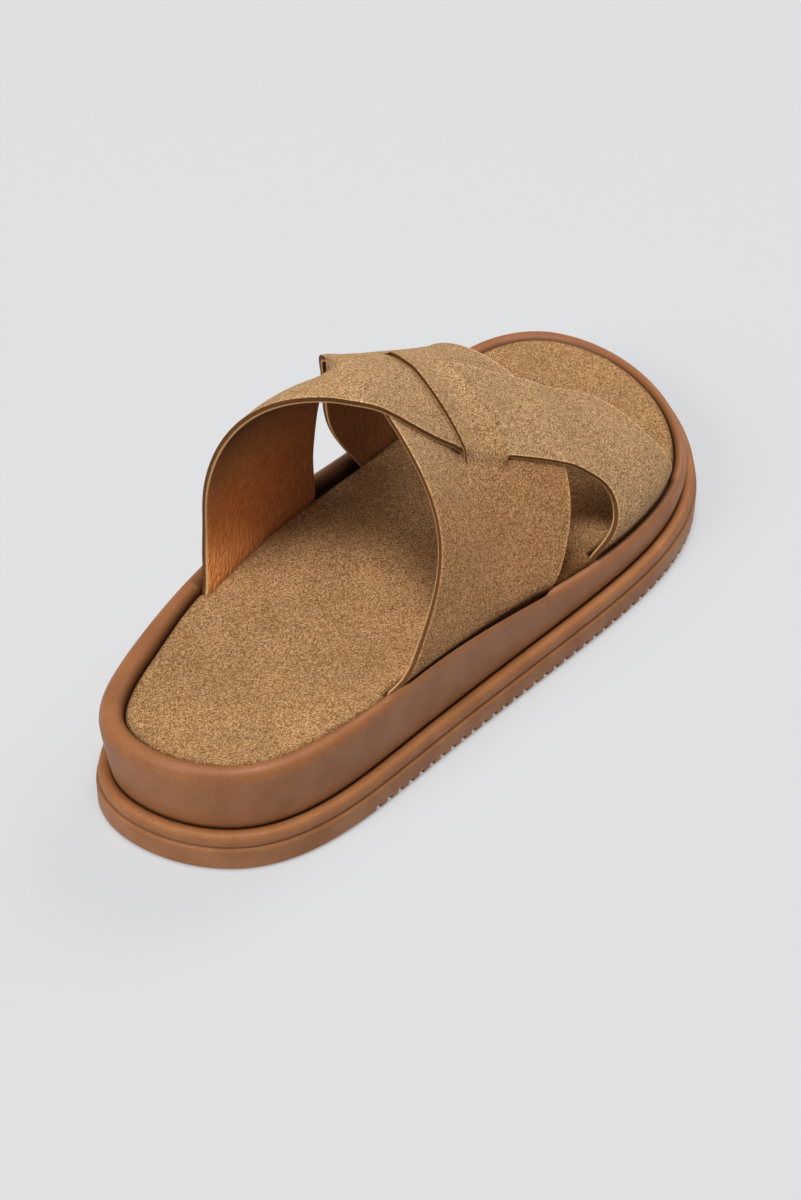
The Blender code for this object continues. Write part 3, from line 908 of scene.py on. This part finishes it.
def cup():
    """Wall and rolled rim of the cup: a smooth profile between their tables, carried round the outline."""
    loop = outline(CUP_STATIONS)
    turn = inward(loop)
    lip = lip_inset(loop[:, 1]) - LIP_PRESS * foot_stretch(loop, *PRESS_STRETCH, PRESS_FADE)
    face = RIM_FACE - MEDIAL_FLARE * medial(loop[:, 0]) ** 2
    controls = []
    for inset, rise in CUP_WALL:
        flat = loop + turn * inset
        controls.append(np.column_stack([flat, OUTSOLE_TOP + GAP + rise + spring(flat[:, 1])]))
    for share, fall in CUP_RIM:
        flat = loop + turn * (face + (lip - face) * share)[:, None]
        controls.append(np.column_stack([flat, rim_height(flat[:, 1], medial(flat[:, 0])) - fall]))
    controls = np.array(controls)
    chords = np.linalg.norm(np.diff(controls[:, 0], axis=0), axis=1)
    knots = np.concatenate([[0.0], np.cumsum(np.sqrt(chords))])
    spans = [np.linspace(low, high, RIM_STEPS, endpoint=False) for low, high in zip(knots, knots[1:])]
    at = np.concatenate([*spans, knots[-1:]])
    points = spline(knots, controls.reshape(len(controls), -1), at).reshape(len(at), len(loop), 3)
    flat = loop + turn * lip[:, None]
    floor = np.column_stack([flat, cup_bottom(flat, 0.0)])
    points = np.concatenate([points, floor[None]])
    rings, count = points.shape[:2]
    points = points.reshape(-1, 3)
    faces = [ring_faces(rings, count)]
    for ring, height in ((0, cup_base), (rings - 1, cup_bottom)):
        points, more = bridge(points, ring * count + np.arange(count), between(SOLE_COLUMNS), height)
        faces += more
    # Painted shade low on the wall, at the inner lip and on the hidden floor, and a painted contact shadow
    # beside the strap ends
    wall = np.interp(at, knots, [*CUP_WALL_SHADE, *CUP_RIM_SHADE])
    painted_shade = np.repeat(np.append(wall, 1.0), count).reshape(rings, count)
    start, end = knots[list(CONTACT_ROWS)]
    lips = ease((np.append(at, knots[-1]) - start) / (end - start))[:, None]
    touched = np.max([foot_stretch(loop, *foot[:3]) for foot in STRAP_FEET], axis=0)
    painted_shade = np.maximum(painted_shade, RIM_CONTACT_SHADE * lips * touched)
    layers = [("painted_shade", np.concatenate([painted_shade.ravel(), np.zeros(len(points) - painted_shade.size)]))]
    return shape("cup_rim", points, faces, [CUP_RUBBER], sharp=60.0, layers=layers)


def footbed():
    """Suede-covered footbed: a rounded edge carried round the cup, drawn in behind the straps, crowned."""
    loop = outline(FOOTBED_STATIONS)
    turn = inward(loop)
    low = high = lip_inset(loop[:, 1]) + GAP
    for *foot, deep, near in STRAP_FEET:
        low = low + (deep - FOOT_EASE) * foot_stretch(loop, *foot)
        high = high + (near - FOOT_EASE) * foot_stretch(loop, *foot)
    flat = loop + turn * low[:, None]
    rings = [np.column_stack([flat, cup_floor(flat[:, 1], medial(flat[:, 0])) + GAP])]
    for step, fall in FOOTBED_EDGE:
        flat = loop + turn * (high + step)[:, None]
        rings.append(np.column_stack([flat, footbed_edge(flat[:, 1], medial(flat[:, 0])) - fall]))
    count, half = len(loop), len(loop) // 2
    faces = [ring_faces(len(rings), count)]
    points = np.array(rings).reshape(-1, 3)
    top = (len(rings) - 1) * count + np.arange(count)
    start, end = points[top[1:half], 2:], points[top[count - np.arange(1, half)], 2:]

    def crowned(middle, across):
        """Height of the top: level from edge to edge, plus the crown."""
        level = start + (end - start) * (0.5 - 0.5 * across)
        return level + footbed_crown(across, middle[..., 1])

    columns = 0.5 - 0.5 * np.cos(np.pi * between(FOOTBED_COLUMNS))
    points, more = bridge(points, top, columns, crowned)
    faces += more
    points, more = bridge(points, np.arange(count), between(FOOTBED_BASE_COLUMNS),
                          lambda middle, across: cup_floor(middle[..., 1], medial(middle[..., 0])) + GAP)
    faces += more
    # Painted shade under the crossing and round the footbed's edge
    aside = ease((points[:, 0] - SHADED_ACROSS[0]) / (SHADED_ACROSS[1] - SHADED_ACROSS[0]))
    shaded = aside * np.exp(-((points[:, 1] - SHADED_ALONG) / SHADED_REACH) ** 2)
    shaded = np.maximum(shaded, ring_layer(FOOTBED_EDGE_SHADE, count, len(points)))
    return shape("footbed_suede", points, faces, [FOOTBED_SUEDE], sharp=75.0, layers=[("suede_shade", shaded)])


# Order of a strap's finishes
FACE_SLOT = 0
LINING_SLOT = 1
EDGE_SLOT = 2


def strap(name, label, strips, lift, rows):
    """Strap over the foot: a closed section of outer face, cut edges and lining carried from foot to foot.

    The section's points have a share across the strap, a step along the foot and a depth below the
    outer face. Strips side by side share their borders except along a slit, where each has its own lip.
    """
    columns = np.concatenate(strips)
    strip = np.concatenate([np.full(len(part), number) for number, part in enumerate(strips)])
    outward, deep = np.array(STRAP_EDGE).T
    width, edge = len(columns), len(outward)
    share = np.concatenate([columns, np.ones(edge), columns[::-1], np.zeros(edge)])
    number = np.concatenate([strip, np.full(edge, strip[-1]), strip[::-1], np.zeros(edge, int)])
    step = np.concatenate([np.zeros(width), outward, np.zeros(width), -outward[::-1]])
    depth = np.concatenate([np.zeros(width), deep, np.full(width, STRAP_THICKNESS), deep[::-1]])
    turn = np.linspace(0.0, 1.0, rows)[:, None]
    rear, front = strap_edges(label, turn)
    along = rear + (front - rear) * share + step
    raised = lift(turn, rear + (front - rear) * share, share + 0.0 * turn, number + 0 * along)
    squared = over_squared(turn, along) if label == "over" else 1.0
    points = arch_point(along, turn + 0.0 * along, raised - depth, squared)
    section = len(share)
    index = np.arange(rows * section).reshape(rows, section)
    outer, lining = index[:, :width], index[:, width + edge:2 * width + edge][:, ::-1]
    faces, slots = [], []

    def keep(block, slot):
        """Add a block of faces with one finish."""
        faces.append(block)
        slots.append(np.full(len(block), slot))

    ends = np.cumsum([len(part) for part in strips])
    for start, end in zip(ends - [len(part) for part in strips], ends):
        keep(grid_faces(outer[:, start:end]), FACE_SLOT)
        keep(grid_faces(lining[:, start:end]), LINING_SLOT)
        for row in (0, -1):
            keep(grid_faces(np.stack([outer[row, start:end], lining[row, start:end]])), EDGE_SLOT)
    front_edge = index[:, width - 1:width + edge + 1]
    rear_edge = np.concatenate([index[:, 2 * width + edge - 1:], index[:, :1]], axis=1)
    for border in (front_edge, rear_edge):
        keep(grid_faces(border), EDGE_SLOT)
        for row in (0, -1):
            fan = np.stack([np.full(edge, border[row, 0]), border[row, 1:-1], border[row, 2:]], axis=1)
            keep(fan, EDGE_SLOT)
    for border, (cut, _, _, end) in zip(ends[:-1], SLIT_TURNS):
        open_rows = np.flatnonzero((turn[:, 0] > cut - 1.0 / rows) & (turn[:, 0] < end + 1.0 / rows))
        for lip in (border - 1, border):
            keep(grid_faces(np.stack([outer[open_rows, lip], lining[open_rows, lip]], axis=1)), EDGE_SLOT)
    # Painted shade on the outer leg of the under strap, past the shade turns
    suede_shade = ease((turn - STRAP_SHADE_TURNS[0]) / (STRAP_SHADE_TURNS[1] - STRAP_SHADE_TURNS[0])) * (label == "under") + 0.0 * along
    # Margins of the strap, where the suede carries a painted highlight
    margin = (share == 0.0) | (share == 1.0)
    layers = [
        ("depth", np.tile(depth / STRAP_THICKNESS, rows)),
        ("suede_shade", suede_shade.ravel()),
        ("margin", np.tile(margin, rows)),
    ]
    finishes = [STRAP_SUEDE, LINING, EDGE]
    return shape(name, points.reshape(-1, 3), faces, finishes, sharp=60.0, slots=slots, layers=layers)


OVER_STRIPS = [np.linspace(0.0, 1.0, OVER_COLUMNS)]
UNDER_BORDERS = (0.0, *SLITS, 1.0)
UNDER_STRIPS = [np.linspace(*UNDER_BORDERS[number:number + 2], count)
                for number, count in enumerate(UNDER_COLUMNS)]

PIECES = (
    # piece, node, slot
    (outsole(), "outsole", "outsole"),
    (tread(), "outsole", "outsole"),
    (cup(), "midsole", "midsole"),
    (footbed(), "insole", "insole"),
    (strap("strap_over", "over", OVER_STRIPS, over_lift, STRAP_ROWS), "upper", "upper"),
    (strap("strap_under", "under", UNDER_STRIPS, under_lift, STRAP_ROWS), "upper", "upper"),
)
for piece, node, slot in PIECES:
    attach(piece, "root")
    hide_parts(node)


def posed(side, up, back, place):
    """World matrix with three axes and a place as its columns."""
    matrix = np.identity(4)
    matrix[:3] = np.column_stack([side, up, back, place])
    return Matrix(matrix.tolist())


# Camera fitted to the photograph: turned round from the heel, raised and rolled a little
CAMERA_TURN = math.radians(37.08)
CAMERA_RISE = math.radians(44.10)
CAMERA_ROLL = math.radians(0.52)
CAMERA_AT = (3.09, 125.27, 15.0)
CAMERA_DISTANCE = 950.9
FOCAL_PIXELS = 2870.0
FRAME_PIXELS = 1200.0
SENSOR = 36.0
CLIP_RANGE = (0.05, 20.0)

back = np.array([math.sin(CAMERA_TURN) * math.cos(CAMERA_RISE),
                 -math.cos(CAMERA_TURN) * math.cos(CAMERA_RISE), math.sin(CAMERA_RISE)])
right = np.cross(-back, (0.0, 0.0, 1.0))
right /= np.linalg.norm(right)
up = np.cross(right, -back)
rolled = math.cos(CAMERA_ROLL) * right + math.sin(CAMERA_ROLL) * up
upright = math.cos(CAMERA_ROLL) * up - math.sin(CAMERA_ROLL) * right
eye = (np.array(CAMERA_AT) - CENTRE + CAMERA_DISTANCE * back) * MM
lens = bpy.data.cameras.new("camera")
lens.sensor_fit = "AUTO"
lens.sensor_width = SENSOR
lens.lens = FOCAL_PIXELS / FRAME_PIXELS * SENSOR
lens.clip_start, lens.clip_end = CLIP_RANGE
camera = bpy.data.objects.new("camera", lens)
camera.matrix_world = posed(rolled, upright, back, eye)
bpy.context.scene.collection.objects.link(camera)
bpy.context.scene.camera = camera

# Pale seamless floor that glows like a lit sweep, a high key with two soft fills, an even surround
FLOOR_REACH = 6.0
FLOOR_DROP = 0.0002
FLOOR_CORNERS = ((-1, -1), (1, -1), (1, 1), (-1, 1))
SURROUND_STRENGTH = 0.14
LIGHTS = (
    # name, place, size, power
    ("high key", (0.2, -0.3, 3.9), 1.6, 98.0),
    ("soft rear", (-0.6, -2.8, 2.4), 2.0, 48.0),
    ("soft front", (0.0, 3.0, 2.4), 2.0, 42.0),
)

paper = finish("lit backdrop paper", Base_Color=linear("#a6a6a7"), Roughness=1.0, Specular_IOR_Level=0.0,
               Emission_Color=linear("#9a9c9e"), Emission_Strength=1.0)[0]
corners = [(across * FLOOR_REACH, along * FLOOR_REACH, 0.0) for across, along in FLOOR_CORNERS]
sheet = bpy.data.meshes.new("floor")
sheet.from_pydata(corners, [], [range(len(corners))])
sheet.materials.append(paper)
floor = bpy.data.objects.new("floor", sheet)
floor.location.z = -FLOOR_DROP
bpy.context.scene.collection.objects.link(floor)

for name, place, size, power in LIGHTS:
    lamp = bpy.data.lights.new(name, "AREA")
    lamp.shape, lamp.size, lamp.energy = "DISK", size, power
    lit = bpy.data.objects.new(name, lamp)
    toward = -np.array(place) / np.linalg.norm(place)
    side = np.cross(toward, (0.0, 1.0, 0.0))
    side /= np.linalg.norm(side)
    lit.matrix_world = posed(side, np.cross(side, toward), -toward, place)
    bpy.context.scene.collection.objects.link(lit)

world = bpy.data.worlds.new("studio")
world.use_nodes = True
surround = world.node_tree.nodes["Background"].inputs
surround["Color"].default_value = linear("#e6e7e9")
surround["Strength"].default_value = SURROUND_STRENGTH
bpy.context.scene.world = world
bpy.context.scene.view_settings.view_transform = "Standard"
